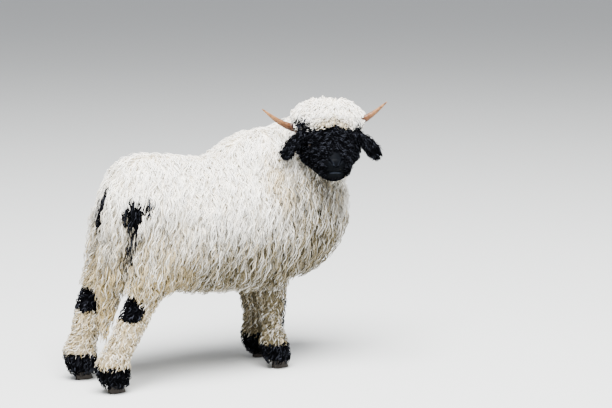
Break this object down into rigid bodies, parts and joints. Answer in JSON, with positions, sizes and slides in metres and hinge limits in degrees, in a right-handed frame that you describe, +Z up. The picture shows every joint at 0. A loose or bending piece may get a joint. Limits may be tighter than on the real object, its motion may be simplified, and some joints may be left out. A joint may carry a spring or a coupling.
{
  "type": "valais blacknose sheep",
  "caption": "Young horned sheep in long pale curly wool with black face, ears, knees, hocks and feet, standing and looking back over its right side.",
  "frame": {"origin": "centre of the model's box, on the floor under its hooves", "axes": "+Z up, -Y is the way the body faces, +X is its left side, +Y is along the body's length towards the tail"},
  "size_m": [0.5278, 1.0366, 0.9221],
  "materials": {
    "wool": "long, dense, wavy cream-white locks",
    "black_wool": "short, tight, matte black curls",
    "horn": "ridged tan horn, darker at the root",
    "hoof": "dull dark hoof horn",
    "eye": "wet amber-brown eye with a level pupil"
  },
  "bodies": {
    "root": {"claw_front_left_inner": "hoof", "claw_front_left_outer": "hoof", "claw_front_right_inner": "hoof", "claw_front_right_outer": "hoof", "claw_hind_left_inner": "hoof", "claw_hind_left_outer": "hoof", "claw_hind_right_inner": "hoof", "claw_hind_right_outer": "hoof", "ear_left": "black_wool", "ear_right": "black_wool", "eye_left": "eye", "eye_right": "eye", "foot_front_left": "black_wool", "foot_front_right": "black_wool", "foot_hind_left": "black_wool", "foot_hind_right": "black_wool", "foreleg_left": "wool", "foreleg_right": "wool", "forelock": "wool", "head": "black_wool", "hindleg_left": "wool", "hindleg_right": "wool", "hock_left": "black_wool", "hock_right": "black_wool", "horn_left": "horn", "horn_right": "horn", "knee_left": "black_wool", "knee_right": "black_wool", "neck": "wool", "rump_patch_left": "black_wool", "rump_patch_right": "black_wool", "tail": "wool", "torso": "wool"}
  },
  "joints": []
}
